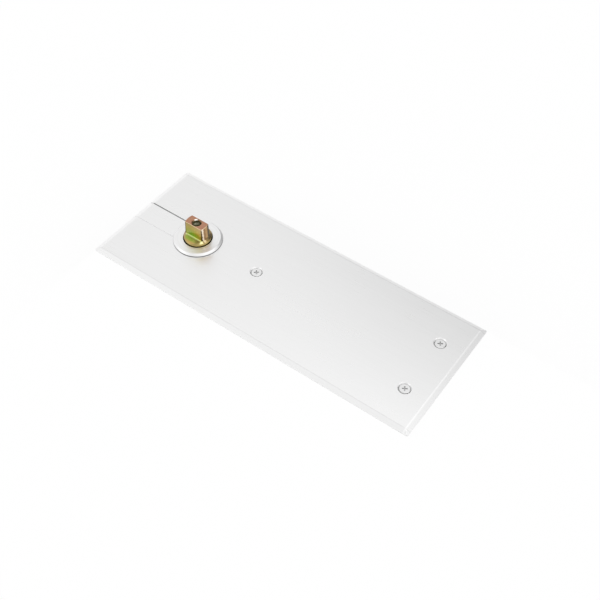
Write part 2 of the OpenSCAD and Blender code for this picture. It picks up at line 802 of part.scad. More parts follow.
module housing_lid() color(iron) difference() {
    union() {
        lid_outline_block(lid_z, housing_top);
        translate([0, 0, upper_z]) cylinder(h = collar_top - upper_z, d = collar_d);
    }
    translate([0, 0, upper_z - cut]) cylinder(h = upper_w + cut, d = upper_outer_d + 2 * fit_gap);
    translate([0, 0, shelf_z - cut]) cylinder(h = collar_top, d = seal_d - 2 * seal_shelf_w);
    translate([0, 0, seal_z]) cylinder(h = collar_top, d = seal_d + 2 * fit_gap);
    lid_screw_places() {
        translate([0, 0, lid_z - cut]) cylinder(h = lid_t + 2 * cut, d = lid_screw_d + 2 * hole_gap);
        translate([0, 0, housing_top - lid_head_sink])
            cylinder(h = lid_head_h, d = lid_head_d() + 2 * hole_gap);
    }
    oil_plug_place() translate([0, 0, lid_z - cut])
        cylinder(h = lid_t + 2 * cut, d = oil_plug_d + 2 * fit_gap);
}

function lid_head_d() = lid_screw_d * 1.7;

module oil_plug_place() {
    translate([-oil_plug_reach, oil_plug_y, 0]) children();
}

module lid_gasket() color(rubber) difference() {
    lid_outline_block(rim_z, lid_z);
    chamber(rim_z - cut, lid_z + cut);
    lid_screw_places() translate([0, 0, rim_z - cut])
        cylinder(h = gasket_t + 2 * cut, d = lid_screw_d + 2 * hole_gap);
}

module lid_screws() color(dark_steel) lid_screw_places()
    translate([0, 0, housing_top - lid_head_sink]) difference() {
        union() {
            cylinder(h = lid_head_h, d = lid_head_d());
            translate([0, 0, lid_head_sink - lid_screw_l]) cylinder(h = lid_screw_l, d = lid_screw_d);
        }
        translate([0, 0, lid_head_h / 3]) hexagon(lid_screw_d * 0.8, lid_head_h);
    }

module oil_plug() color(zinc) oil_plug_place() translate([0, 0, housing_top]) difference() {
    union() {
        cylinder(h = oil_head_h, d = oil_plug_d * 1.5);
        translate([0, 0, -lid_t]) cylinder(h = lid_t + oil_head_h, d = oil_plug_d);
    }
    translate([0, 0, -lid_t / 3]) hexagon(oil_plug_d / 2, lid_t + oil_head_h);
}

// A lip seal: a case that fills the collar, and a lip that leans on the spindle
module spindle_seal() color(rubber) {
    r_case = seal_d / 2;
    r_lip = head_d / 2 + run_gap;
    lip_t = 1.6;
    rotate_extrude() translate([0, seal_z]) polygon([
        [r_lip + lip_t, 0], [r_case, 0], [r_case, seal_h], [r_lip + lip_t * 1.5, seal_h],
        [r_lip, seal_h - lip_t * 0.6], [r_lip, seal_h - lip_t * 1.1], [r_lip + lip_t, seal_h - lip_t * 1.6]
    ]);
}

// ---- bearings ----

// How much of a ball's diameter stays free between the two races of a bearing
race_opening = 0.64;

// Both races share the groove that the balls run in
module race_groove(d_mid, ball_d) {
    rotate_extrude() translate([d_mid / 2, 0]) circle(d = ball_d + 2 * run_gap);
}

module outer_race(d_out, d_mid, ball_d, w, z) {
    translate([0, 0, z + w / 2]) difference() {
        washer_shape(d_out, d_mid + ball_d * race_opening, -w / 2, w / 2);
        race_groove(d_mid, ball_d);
    }
}

module inner_race(d_in, d_mid, ball_d, w, z) {
    translate([0, 0, z + w / 2]) difference() {
        washer_shape(d_mid - ball_d * race_opening, d_in, -w / 2, w / 2);
        race_groove(d_mid, ball_d);
    }
}

module balls(d_mid, ball_d, count, w, z) {
    translate([0, 0, z + w / 2]) for (i = [0 : count - 1])
        rotate([0, 0, i * 360 / count]) translate([d_mid / 2, 0, 0]) sphere(d = ball_d);
}

module ball_cage(d_mid, ball_d, count, w, z) {
    wall = ball_d * 0.26;
    height = ball_d * 1.26;
    difference() {
        translate([0, 0, z + w / 2]) washer_shape(d_mid + wall, d_mid - wall, -height / 2, height / 2);
        translate([0, 0, z + w / 2]) for (i = [0 : count - 1])
            rotate([0, 90, i * 360 / count]) cylinder(h = d_mid, d = ball_d + 4 * run_gap);
    }
}

function upper_mid() = (upper_outer_d + upper_bore_d) / 2;
function lower_mid() = (lower_outer_d + shaft_d) / 2;

module upper_outer_race() color(bright)
    outer_race(upper_outer_d, upper_mid(), upper_ball_d, upper_w, upper_z);
module upper_inner_race() color(bright)
    inner_race(upper_bore_d + 2 * fit_gap, upper_mid(), upper_ball_d, upper_w, upper_z);
module upper_balls() color(bright) balls(upper_mid(), upper_ball_d, upper_ball_count, upper_w, upper_z);
module upper_ball_cage() color(bronze)
    ball_cage(upper_mid(), upper_ball_d, upper_ball_count, upper_w, upper_z);
module lower_outer_race() color(bright)
    outer_race(lower_outer_d, lower_mid(), lower_ball_d, lower_w, lower_z);
module lower_inner_race() color(bright)
    inner_race(shaft_d + 2 * fit_gap, lower_mid(), lower_ball_d, lower_w, lower_z);
module lower_balls() color(bright) balls(lower_mid(), lower_ball_d, lower_ball_count, lower_w, lower_z);
module lower_ball_cage() color(bronze)
    ball_cage(lower_mid(), lower_ball_d, lower_ball_count, lower_w, lower_z);

// ---- spindle and cam ----

module spindle() color(chromate) difference() {
    sink_h = (arm_sink_d - arm_hole_d) / 2;
    union() {
        spindle_shaft();
        spindle_shoulder();
        spindle_tang();
    }
    translate([0, 0, tang_top - arm_hole_depth]) cylinder(h = arm_hole_depth + cut, d = arm_hole_d);
    translate([0, 0, tang_top - sink_h])
        cylinder(h = 2 * sink_h, d1 = arm_hole_d, d2 = arm_hole_d + 4 * sink_h);
    key_block(0, cam_z, cam_top);
}

// The turned part up to the rim: shaft, bearing seat and head
module spindle_shaft() {
    foot_z = lower_z + shaft_chamfer / 4;
    head_z = upper_z + upper_w;
    rotate_extrude() polygon([
        [0, foot_z], [shaft_d / 2 - shaft_chamfer, foot_z], [shaft_d / 2, foot_z + shaft_chamfer],
        [shaft_d / 2, upper_z], [upper_bore_d / 2, upper_z], [upper_bore_d / 2, head_z],
        [head_d / 2, head_z + side_gap], [head_d / 2, rim_top - rim_chamfer],
        [head_d / 2 - rim_chamfer, rim_top], [0, rim_top]
    ]);
}

// The cone above the rim, milled down on both sides to a slope that ends at the tang's flats
module spindle_shoulder() {
    rim_r = head_d / 2 - rim_chamfer;
    base = rim_top - cut;
    intersection() {
        rotate_extrude() polygon([
            [0, base], [rim_r, base], [rim_r, rim_top], [tang_root_l / 2, tang_root], [0, tang_root]
        ]);
        along_x(head_d) polygon([
            [-rim_r, base], [rim_r, base], [rim_r, rim_top],
            [tang_root_w / 2, tang_root], [-tang_root_w / 2, tang_root], [-rim_r, rim_top]
        ]);
    }
}

// The tang: two flats and two rounded ends, all closing in a little towards the top
module spindle_tang() {
    end_x = tang_end_r - tang_root_l / 2;
    top_w = tang_top_w - tang_edge;
    intersection() {
        tang_cone(end_x, tang_end_r);
        tang_cone(-end_x, tang_end_r);
        tang_cone(0, tang_root_l / 2 + tang_corner);
        along_x(2 * tang_root_l) polygon([
            [-tang_root_w / 2, tang_root - cut], [tang_root_w / 2, tang_root - cut],
            [tang_root_w / 2, tang_root], [tang_top_w / 2, tang_top - tang_edge],
            [top_w / 2, tang_top], [-top_w / 2, tang_top],
            [-tang_top_w / 2, tang_top - tang_edge], [-tang_root_w / 2, tang_root]
        ]);
    }
}

// A cone as high as the tang on an axis at x, with radius r at its foot and the tang's taper
module tang_cone(x, r) {
    base = tang_root - cut;
    top_r = r - (tang_root_l - tang_top_l) / 2;
    translate([x, 0, 0]) rotate_extrude() polygon([
        [0, base], [r, base], [top_r, tang_top - tang_edge], [top_r - tang_edge, tang_top], [0, tang_top]
    ]);
}

// A section in Y and Z, drawn out along X to both sides of the spindle's axis
module along_x(l) {
    translate([-l / 2, 0, 0]) rotate([90, 0, 90]) linear_extrude(l) children();
}

// The key's block, on the side of the shaft where the cam is thickest
module key_block(gap, z0, z1) {
    depth = key_w * 0.6;
    translate([shaft_d / 2 - depth, -key_w / 2 - gap, z0]) cube([key_w + gap, key_w + 2 * gap, z1 - z0]);
}

module cam_key() color(dark_steel) key_block(-fit_gap, cam_z, cam_top);

// Distance from the spindle's axis to the roller's centre, at an angle from the cam's valley
function pitch_r(angle) = cam_base + cam_rise * PI * angle / 180;

// The cam's face lies a roller's radius inside the path of the roller's centre
function cam_point(angle) = let (
    r = pitch_r(angle),
    slope = norm([r, cam_rise]),
    inset = roller_r + cam_gap,
    out_x = (r * cos(angle) + cam_rise * sin(angle)) / slope,
    out_y = (r * sin(angle) - cam_rise * cos(angle)) / slope
) [-(r * cos(angle) - inset * out_x), r * sin(angle) - inset * out_y];

// The round seat in the valley, where the roller rests with the door closed
function valley_point(angle) = let (inset = roller_r + cam_gap)
    [-(cam_base - inset * cos(angle)), inset * sin(angle)];

module heart_cam() color(dark_steel) {
    valley_half = atan(cam_rise / cam_base);
    valley_steps = 4;
    angle_step = 3;
    half = [for (angle = [angle_step : angle_step : 180]) let (p = cam_point(angle)) if (p.y > 0) p];
    valley = [for (i = [-valley_steps : valley_steps]) valley_point(valley_half * i / valley_steps)];
    mirrored = [for (i = [len(half) - 1 : -1 : 0]) [half[i].x, -half[i].y]];
    difference() {
        translate([0, 0, cam_z]) linear_extrude(cam_t) polygon(concat(valley, half, mirrored));
        translate([0, 0, cam_z - cut]) cylinder(h = cam_t + 2 * cut, d = shaft_d + 2 * fit_gap);
        key_block(fit_gap, cam_z - cut, cam_top + cut);
    }
}

module upper_spacer() color(bright) washer_shape(spacer_d, shaft_d + 2 * fit_gap, cam_top, upper_z);
module lower_spacer() color(bright) washer_shape(spacer_d, shaft_d + 2 * fit_gap, lower_top, cam_z);

// ---- slide, rollers and piston ----

// Outline of a slide plate: a wide frame round the cam, a tail for the piston, and the shaft's slot
module slide_outline() {
    slot_d = spacer_d + 2 * side_gap;
    difference() {
        union() {
            rounded_outline(slide_back, slide_near, slide_w, slide_corner_r);
            translate([tail_x, -tail_w / 2]) square([tail_l + cut, tail_w]);
        }
        translate([0, -slot_d / 2]) square([travel, slot_d]);
        for (x = [0, travel]) translate([x, 0]) circle(d = slot_d);
        for (x = [-cam_base, cam_far]) translate([x, 0]) circle(d = roller_pin_d + 2 * fit_gap);
        translate([piston_pin_x, 0]) circle(d = piston_pin_d + 2 * fit_gap);
    }
}

module upper_slide_plate() color(bright)
    translate([0, 0, drive_z + slide_inner]) linear_extrude(slide_t) slide_outline();
module lower_slide_plate() color(bright)
    translate([0, 0, drive_z - slide_outer]) linear_extrude(slide_t) slide_outline();

module roller_pins() color(dark_steel) for (x = [-cam_base, cam_far])
    translate([x, 0, drive_z - slide_outer]) cylinder(h = 2 * slide_outer, d = roller_pin_d);

module roller(x) {
    translate([x, 0, 0]) washer_shape(roller_d, roller_pin_d + 2 * run_gap, cam_z, cam_top);
}

module front_roller() color(bright) roller(-cam_base);
module rear_roller() color(bright) roller(cam_far);

function piston_ring_x(i) = piston_x - piston_ring_inset - i * piston_ring_pitch;
function check_y() = bore_d / 2 - check_ball_d - check_wall;
// The check valve's oil way, and the chamber that its ball lifts in
function check_way_d() = check_ball_d * 0.6;
function check_chamber_d() = check_ball_d * 1.08;

module piston() color(bright) difference() {
    union() {
        bar_x(piston_back, piston_x, bore_d - 2 * run_gap);
        piston_lug();
    }
    bar_x(piston_back - cut, pocket_x, pocket_d);
    for (i = [0 : piston_ring_count - 1])
        ring_x(piston_ring_x(i) - piston_ring_w, piston_ring_x(i), bore_d + cut, bore_d - 2 * piston_ring_t);
    translate([piston_pin_x, 0, 0]) cylinder(h = cover_z, d = piston_pin_d + 2 * fit_gap);
    translate([0, check_y(), 0]) {
        bar_x(pocket_x - cut, piston_x + cut, check_way_d());
        bar_x(check_seat_x() - check_ball_d / 2, piston_x + cut, check_chamber_d());
    }
}

// The lug that the slide's pin passes through
module piston_lug() {
    lug_t = 2 * slide_inner - 2 * side_gap;
    translate([piston_x - cut, -lug_w / 2, drive_z - lug_t / 2])
        cube([piston_pin_x - piston_x + cut, lug_w, lug_t]);
    translate([piston_pin_x, 0, drive_z - lug_t / 2]) cylinder(h = lug_t, d = lug_w);
}

module piston_pin() color(dark_steel) translate([piston_pin_x, 0, drive_z - slide_outer])
    cylinder(h = 2 * slide_outer, d = piston_pin_d);

module piston_rings() color(rubber) for (i = [0 : piston_ring_count - 1])
    ring_x(piston_ring_x(i) - piston_ring_w + fit_gap, piston_ring_x(i) - fit_gap,
        bore_d - 2 * run_gap, bore_d - 2 * piston_ring_t);

// The ball's centre with the check valve shut
function check_seat_x() = piston_x - check_ball_d;

module check_ball() color(bright) translate([check_seat_x(), check_y(), drive_z]) sphere(d = check_ball_d);

module check_retainer() color(dark_steel) translate([0, check_y(), 0])
    ring_x(check_seat_x() + check_ball_d / 2 + check_lift, piston_x, check_chamber_d(), check_way_d());

// ---- spring and end cap ----

// Height of the wire's centre along the spring after a number of turns, with a closed turn at each end
function spring_rise(turn, total, length) =
    let (
        closed = spring_wire * 1.02,
        open = (length - spring_wire - 2 * closed) / (total - 2)
    )
    turn < 1 ? turn * closed :
    turn > total - 1 ? length - spring_wire - (total - turn) * closed :
    closed + (turn - 1) * open;

module main_spring() color(dark_steel) {
    length = pocket_x - cap_face;
    total = spring_turns + 2;
    steps = 12;
    sides = 8;
    rings = total * steps;
    mid_r = (spring_d - spring_wire) / 2;
    points = [
        for (i = [0 : rings]) let (turn = i / steps, angle = turn * 360)
            for (k = [0 : sides - 1]) let (
                round = (k + 0.5) * 360 / sides,
                r = mid_r + spring_wire / 2 * cos(round)
            ) [
                cap_face + spring_wire / 2 + spring_rise(turn, total, length) + spring_wire / 2 * sin(round),
                r * cos(angle),
                drive_z + r * sin(angle)
            ]
    ];
    sides_list = [
        for (i = [0 : rings - 1]) for (k = [0 : sides - 1]) let (next = (k + 1) % sides)
            [i * sides + k, i * sides + next, (i + 1) * sides + next, (i + 1) * sides + k]
    ];
    first = [for (k = [sides - 1 : -1 : 0]) k];
    last = [for (k = [0 : sides - 1]) rings * sides + k];
    polyhedron(points, concat([first], sides_list, [last]));
}

module end_cap() color(zinc) difference() {
    cap_back = housing_far - cut;
    union() {
        bar_x(cap_back, cap_x, cap_d);
        bar_x(cap_x - cut, cap_face, bore_d - 2 * fit_gap);
        bar_x(cap_x - cut, cap_face + cap_spigot_l, spring_d - 2 * spring_wire - 2 * loose_gap);
        translate([cap_back - cap_hex_h, 0, drive_z]) rotate([0, 90, 0])
            hexagon(cap_flats, cap_hex_h + cut);
    }
    cap_groove(0, cap_d + cut);
}

module end_cap_seal() color(rubber) cap_groove(hole_gap, cap_d);

// The groove's ring round the cap, narrowed by a gap on each side
module cap_groove(gap, d_out) {
    groove_x = cap_x - cap_groove_inset;
    ring_x(groove_x - cap_groove_w + gap, groove_x - gap, d_out, cap_d - 2 * cap_groove_depth);
}

// ---- speed valves ----

// A slotted head, a threaded body with a groove for its seal, and a needle that shuts the oil's way
module speed_valve() {
    body_z = drive_z + valve_d / 2;
    needle_z = drive_z - gallery_d / 3;
    slot_z = housing_top + valve_head_h - valve_slot_depth;
    difference() {
        union() {
            translate([0, 0, housing_top]) cylinder(h = valve_head_h, d = valve_head_d);
            translate([0, 0, body_z]) cylinder(h = housing_top - body_z + valve_head_h, d = valve_d);
            translate([0, 0, needle_z])
                cylinder(h = body_z - needle_z + cut, d1 = gallery_d / 2, d2 = gallery_d);
        }
        translate([-valve_head_d, -valve_slot_w / 2, slot_z])
            cube([2 * valve_head_d, valve_slot_w, valve_slot_depth + cut]);
        valve_ring_shape(run_gap, valve_d + cut);
    }
}

// The seal ring's shape round the valve, widened by a gap to make its groove
module valve_ring_shape(gap, d_out) {
    ring_top = housing_top - valve_ring_depth;
    washer_shape(d_out, valve_d - 2 * valve_ring_t, ring_top - valve_ring_w - gap, ring_top + gap);
}

module closing_valve() color(bronze) translate([valve_x, gallery_y, 0]) speed_valve();
module closing_valve_seal() color(rubber) translate([valve_x, gallery_y, 0]) valve_ring_shape(0, valve_d);
module latching_valve() color(bronze) translate([valve_x, -gallery_y, 0]) speed_valve();
module latching_valve_seal() color(rubber) translate([valve_x, -gallery_y, 0]) valve_ring_shape(0, valve_d);

cover_plate();
cover_filler();
spindle_ring();
cover_screws();
cement_box();
cover_brackets();
bracket_nuts();
housing();
housing_lid();
lid_gasket();
lid_screws();
oil_plug();
gallery_plugs();
levelling_screws();
holding_studs();
holding_washers();
holding_nuts();
end_cap();
end_cap_seal();
spindle_seal();
upper_outer_race();
lower_outer_race();
main_spring();
spindle();
heart_cam();
cam_key();
upper_spacer();
lower_spacer();
upper_inner_race();
lower_inner_race();
upper_balls();
upper_ball_cage();
lower_balls();
lower_ball_cage();
upper_slide_plate();
lower_slide_plate();
roller_pins();
front_roller();
rear_roller();
piston();
piston_pin();
piston_rings();
check_ball();
check_retainer();
closing_valve();
closing_valve_seal();
latching_valve();
latching_valve_seal();
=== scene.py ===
"""Looks of the floor spring door closer: procedural finishes, main spring, stage, camera and sky.

Lengths are in metres, in the same frame as the part: the origin is on the spindle's axis at the
underside of the cement box, +X points to the cover's near end and +Z points up.
"""

import json
import math

import bpy
from mathutils import Matrix, Vector


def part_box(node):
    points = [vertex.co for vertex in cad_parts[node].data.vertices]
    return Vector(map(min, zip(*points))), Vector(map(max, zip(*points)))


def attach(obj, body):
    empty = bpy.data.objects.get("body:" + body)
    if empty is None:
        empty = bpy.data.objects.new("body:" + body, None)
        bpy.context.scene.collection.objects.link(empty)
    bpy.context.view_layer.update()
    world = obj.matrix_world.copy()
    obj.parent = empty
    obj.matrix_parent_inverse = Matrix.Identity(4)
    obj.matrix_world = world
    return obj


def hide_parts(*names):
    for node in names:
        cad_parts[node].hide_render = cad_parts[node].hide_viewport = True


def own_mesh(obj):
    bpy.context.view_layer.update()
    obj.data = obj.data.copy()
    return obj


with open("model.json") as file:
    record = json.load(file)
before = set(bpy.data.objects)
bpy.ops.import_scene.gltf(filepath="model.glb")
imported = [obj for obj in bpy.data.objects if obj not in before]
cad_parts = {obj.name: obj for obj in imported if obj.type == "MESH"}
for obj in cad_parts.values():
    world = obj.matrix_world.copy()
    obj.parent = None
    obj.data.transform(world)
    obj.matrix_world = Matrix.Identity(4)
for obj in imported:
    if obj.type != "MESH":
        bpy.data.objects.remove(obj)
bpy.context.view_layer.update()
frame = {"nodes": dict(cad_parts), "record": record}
MM = 0.001

# The camera: its place, the directions of its right side and its top, its lens and sensor in mm
CAMERA_PLACE = Vector((-377.7, 397.4, 628.4)) * MM
CAMERA_RIGHT = Vector((-0.8113, -0.5843, 0.0185))
CAMERA_UP = Vector((0.4567, -0.6138, 0.6439))
CAMERA_LENS = 56.5
CAMERA_SENSOR = 36

# The cover's box, its top, and where that top meets the bevels of the sides and of both ends
COVER_LOW, COVER_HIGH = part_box("cover_plate")
BEVEL_W = 4.0 * MM
SIDE_CREASE_Y = COVER_HIGH.y - BEVEL_W
NEAR_CREASE_X = COVER_HIGH.x - BEVEL_W
FAR_CREASE_X = COVER_LOW.x + BEVEL_W

# Half of the cover's slot, the middle of the painted shade line along its wider gap, and the ring's radius
SLOT_HALF = 10.5 * MM
OPEN_GAP_Y = -9.95 * MM
RING_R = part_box("spindle_ring")[1].x

# The cover screws: one on the middle line, two at the far end
SCREWS_LOW, SCREWS_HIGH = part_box("cover_screws")
SCREW_HEAD_R = 4.2 * MM
NEAR_SCREW_X = SCREWS_HIGH.x - SCREW_HEAD_R
FAR_SCREW_X = SCREWS_LOW.x + SCREW_HEAD_R
FAR_SCREW_Y = SCREWS_HIGH.y - SCREW_HEAD_R
COVER_SCREWS = [(NEAR_SCREW_X, 0.0), (FAR_SCREW_X, FAR_SCREW_Y), (FAR_SCREW_X, -FAR_SCREW_Y)]

# The spindle: tops of its head's rim and of its tang, the tang's foot, where the flats end, half of the
# tang's width, its hole with the countersink and thread, and the place of the painted highlight in it
RIM_TOP_Z = 65.5 * MM
TANG_FOOT_Z = 66.8 * MM
TANG_TOP_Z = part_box("spindle")[1].z
FLAT_END_X = 8.4 * MM
TANG_HALF_Y = 4.9 * MM
HOLE_R = 3.4 * MM
SINK_R = 4.3 * MM
THREAD_PITCH = 1.25 * MM
GLINT_TURN = math.radians(-44)
GLINT_Z = 75.2 * MM

# The green patch on the tang's flats: its middle, and how wide and high its bands of colour spread
GREEN_X = 2.5 * MM
GREEN_Z = 68.0 * MM
BANDS_W = 14.0 * MM
BANDS_H = 12.0 * MM

# The slopes beside the tang: where their bands end on X, and where gold starts and is full on Y
SLOPE_X = 9.0 * MM
SLOPE_GREEN_Y = 8.5 * MM
SLOPE_GOLD_Y = 10.5 * MM

# The hole's wall: where it is olive, and where it has turned dark
HOLE_OLIVE_Z = 72.0 * MM
HOLE_DARK_Z = 78.5 * MM

# The stage: tops of the floor under the box and of the one round the cover, how far both reach, how thick
# the lower one is, how far the upper one goes under the cover, and the share of plain white in their colour
PIT_FLOOR_Z = 0.0
FLOOR_TOP_Z = COVER_LOW.z - 0.1 * MM
FLOOR_REACH = 6.0
FLOOR_T = 0.01
FLOOR_LAP = 1.0 * MM
WHITE_SHARE = 0.85


# ---- node helpers ----


class Shader:
    """Builds one node tree. A call adds its nodes and gives the socket that comes out of them.

    Two calls differ: add gives the new node itself, and parts gives three sockets.
    """

    def __init__(self, tree):
        self.nodes = tree.nodes
        self.links = tree.links

    def add(self, kind, inputs=(), **settings):
        """Adds a node: inputs maps its sockets to values or sockets, settings are its properties."""
        node = self.nodes.new(kind)
        for name, value in settings.items():
            setattr(node, name, value)
        for key, value in dict(inputs).items():
            self.join(value, node.inputs[key])
        return node

    def join(self, value, socket):
        if isinstance(value, bpy.types.NodeSocket):
            self.links.new(value, socket)
        else:
            socket.default_value = value

    def math(self, operation, a, b=0.0, c=0.0, clamp=False):
        node = self.nodes.new("ShaderNodeMath")
        node.operation = operation
        node.use_clamp = clamp
        for socket, value in zip(node.inputs, (a, b, c)):
            self.join(value, socket)
        return node.outputs[0]

    def vector_math(self, operation, a, b):
        node = self.nodes.new("ShaderNodeVectorMath")
        node.operation = operation
        self.join(a, node.inputs[0])
        self.join(b, node.inputs[1])
        return node.outputs["Value" if operation == "DOT_PRODUCT" else "Vector"]

    def scale(self, vector, factor):
        return self.add("ShaderNodeVectorMath", {0: vector, "Scale": factor}, operation="SCALE").outputs[0]

    def place(self):
        """Position in the part's frame, in metres. It stays with the piece when a body moves."""
        return self.add("ShaderNodeTexCoord").outputs["Object"]

    def normal(self):
        """Direction that the surface faces, which stays with the piece too."""
        return self.add("ShaderNodeTexCoord").outputs["Normal"]

    def radius(self, x, y):
        """Length of the vector x, y."""
        return self.math("SQRT", self.math("ADD", self.math("MULTIPLY", x, x), self.math("MULTIPLY", y, y)))

    def close_to(self, value, centre, core, reach):
        """1 where the value is within core of the centre, fading to 0 at reach."""
        away = self.math("ABSOLUTE", self.math("SUBTRACT", value, centre))
        return self.range(away, core, reach, 1.0, 0.0)

    def parts(self, vector):
        return self.add("ShaderNodeSeparateXYZ", {0: vector}).outputs

    def stretch(self, vector, scale):
        return self.add("ShaderNodeMapping", {"Vector": vector, "Scale": scale}).outputs[0]

    def noise(self, vector, scale=1.0, detail=4.0, roughness=0.5):
        inputs = {"Vector": vector, "Scale": scale, "Detail": detail, "Roughness": roughness}
        return self.add("ShaderNodeTexNoise", inputs).outputs[0]

    def cells(self, vector, scale):
        return self.add("ShaderNodeTexVoronoi", {"Vector": vector, "Scale": scale}).outputs["Color"]

    def range(self, value, low, high, to_low, to_high):
        names = ("Value", "From Min", "From Max", "To Min", "To Max")
        inputs = dict(zip(names, (value, low, high, to_low, to_high)))
        return self.add("ShaderNodeMapRange", inputs, clamp=True).outputs[0]

    def ramp(self, value, stops):
        """A colour that goes evenly through the stops, each a position and its colour."""
        node = self.add("ShaderNodeValToRGB", {0: value})
        elements = node.color_ramp.elements
        while len(elements) < len(stops):
            elements.new(0.5)
        for element, (position, colour) in zip(elements, stops):
            element.position = position
            element.color = (*colour, 1.0)
        return node.outputs[0]

    def mix(self, factor, a, b):
        """Mixes two colours. The node keeps its colour sockets at 6 and 7, and gives the result at 2."""
        node = self.add("ShaderNodeMix", {0: factor}, data_type="RGBA")
        for place, colour in ((6, a), (7, b)):
            given = isinstance(colour, bpy.types.NodeSocket)
            self.join(colour if given else (*colour, 1.0), node.inputs[place])
        return node.outputs[2]

    def bump(self, height, strength, distance, normal=None):
        inputs = {"Height": height, "Strength": strength, "Distance": distance}
        if normal is not None:
            inputs["Normal"] = normal
        return self.add("ShaderNodeBump", inputs).outputs[0]

    def soft_edges(self, radius):
        return self.add("ShaderNodeBevel", {"Radius": radius}, samples=4).outputs[0]


def empty_shader(owner):
    """A Shader for the emptied node tree of a material or a world."""
    owner.use_nodes = True
    owner.node_tree.nodes.clear()
    return Shader(owner.node_tree)


def principled(name, build):
    """A material whose Principled inputs come from build(shader), a dictionary of sockets and values."""
    material = bpy.data.materials.new(name)
    shader = empty_shader(material)
    surface = shader.add("ShaderNodeBsdfPrincipled", build(shader))
    shader.add("ShaderNodeOutputMaterial", {0: surface.outputs[0]})
    return material


# ---- finishes ----


def brushed(shader, tint, along, rough, edge, depth):
    """Metal with fine lines: along is their scale on X, Y and Z, edge the radius its edges seem to have."""
    place = shader.place()
    lines = shader.noise(shader.stretch(place, along), 1.0, 4.0, 0.6)
    clouds = shader.noise(place, 28.0, 3.0)
    light = tuple(min(1.0, c * 1.015) for c in tint)
    dark = tuple(c * 0.985 for c in tint)
    colour = shader.mix(shader.range(lines, 0.3, 0.7, 0.0, 1.0), dark, light)
    gloss = shader.math("ADD", shader.range(lines, 0.3, 0.7, rough * 0.92, rough * 1.08),
                        shader.range(clouds, 0.3, 0.7, -0.015, 0.015))
    return {
        "Base Color": colour,
        "Metallic": 1.0,
        "Roughness": gloss,
        "Normal": shader.bump(lines, 0.25, depth, shader.soft_edges(edge)),
    }


def cover_painted_shade(shader, x, y):
    """How much painted shade darkens the cover: in the slot's gaps, round the ring's foot and along the side
    creases.
    """
    aside = shader.math("ABSOLUTE", y)
    facing_y = shader.math("ABSOLUTE", shader.parts(shader.normal())[1])
    on_wall = shader.range(facing_y, 0.8, 0.95, 0.0, 0.85)
    # painted shade: dark on the slot's walls, round the ring's foot, along the wider gap and the side
    # creases
    by_slot = shader.math("MULTIPLY", on_wall, shader.close_to(aside, SLOT_HALF, 0.5 * MM, 0.6 * MM))
    by_ring = shader.close_to(shader.radius(x, y), RING_R, 0.15 * MM, 0.55 * MM)
    before_bevel = shader.range(x, NEAR_CREASE_X - 0.5 * MM, NEAR_CREASE_X + 0.5 * MM, 1.0, 0.0)
    along_slot = shader.math("MULTIPLY", shader.range(x, 0.0, 1.0 * MM, 0.0, 0.72), before_bevel)
    by_gap = shader.math("MULTIPLY", shader.close_to(y, OPEN_GAP_Y, 0.3 * MM, 0.65 * MM), along_slot)
    by_crease = shader.close_to(aside, SIDE_CREASE_Y, 0.2 * MM, 0.6 * MM)
    painted_shade = shader.math("MAXIMUM", by_slot, shader.math("MULTIPLY", by_ring, 0.4))
    painted_shade = shader.math("MAXIMUM", painted_shade, by_gap)
    return shader.math("MAXIMUM", painted_shade, shader.math("MULTIPLY", by_crease, 0.10))


def cover_steel(shader):
    """Satin stainless with thin lines of painted shade, and a painted highlight along the crease at the far
    end.
    """
    finish = brushed(shader, (0.885, 0.885, 0.885), (14.0, 2600.0, 2600.0), 0.30, 0.6 * MM, 0.006 * MM)
    x, y = shader.parts(shader.place())[:2]
    # painted highlight: a pale line along the crease at the far end
    crease_highlight = shader.close_to(x, FAR_CREASE_X, 0.3 * MM, 0.8 * MM)
    colour = shader.mix(crease_highlight, finish["Base Color"], (0.97, 0.97, 0.97))
    # painted shade: dark lines in the slot's gaps, round the ring's foot and along the side creases
    finish["Base Color"] = shader.mix(cover_painted_shade(shader, x, y), colour, (0.06, 0.06, 0.06))
    return finish


def screw_steel(shader):
    """Stainless screw heads with painted shade in their cross recesses."""
    finish = brushed(shader, (0.84, 0.84, 0.84), (500.0, 500.0, 200.0), 0.36, 0.2 * MM, 0.006 * MM)
    x, y, z = shader.parts(shader.place())
    reaches = []
    for centre_x, centre_y in COVER_SCREWS:
        away_x = shader.math("SUBTRACT", x, centre_x)
        reaches.append(shader.radius(away_x, shader.math("SUBTRACT", y, centre_y)))
    reach = shader.math("MINIMUM", shader.math("MINIMUM", reaches[0], reaches[1]), reaches[2])
    # painted shade: dark in the cross recesses of the heads
    inside = shader.range(reach, 2.4 * MM, 2.6 * MM, 1.0, 0.0)
    sunk = shader.range(z, SCREWS_HIGH.z - 0.3 * MM, SCREWS_HIGH.z - 0.1 * MM, 0.45, 0.0)
    painted_shade = shader.math("MULTIPLY", inside, sunk)
    finish["Base Color"] = shader.mix(painted_shade, finish["Base Color"], (0.05, 0.05, 0.05))
    return finish


def turned(shader, tint, rough, line_scale, edge):
    """Metal turned on a lathe: its lines are rings round the Z axis, edge is as in brushed."""
    x, y, z = shader.parts(shader.place())
    ring = shader.add("ShaderNodeCombineXYZ", {0: shader.radius(x, y), 1: z, 2: 0.0}).outputs[0]
    lines = shader.noise(ring, line_scale, 5.0, 0.6)
    light = tuple(min(1.0, c * 1.03) for c in tint)
    dark = tuple(c * 0.95 for c in tint)
    return {
        "Base Color": shader.mix(shader.range(lines, 0.3, 0.7, 0.0, 1.0), dark, light),
        "Metallic": 1.0,
        "Roughness": shader.range(lines, 0.3, 0.7, rough * 0.8, rough * 1.2),
        "Normal": shader.bump(lines, 0.2, 0.01 * MM, shader.soft_edges(edge)),
    }


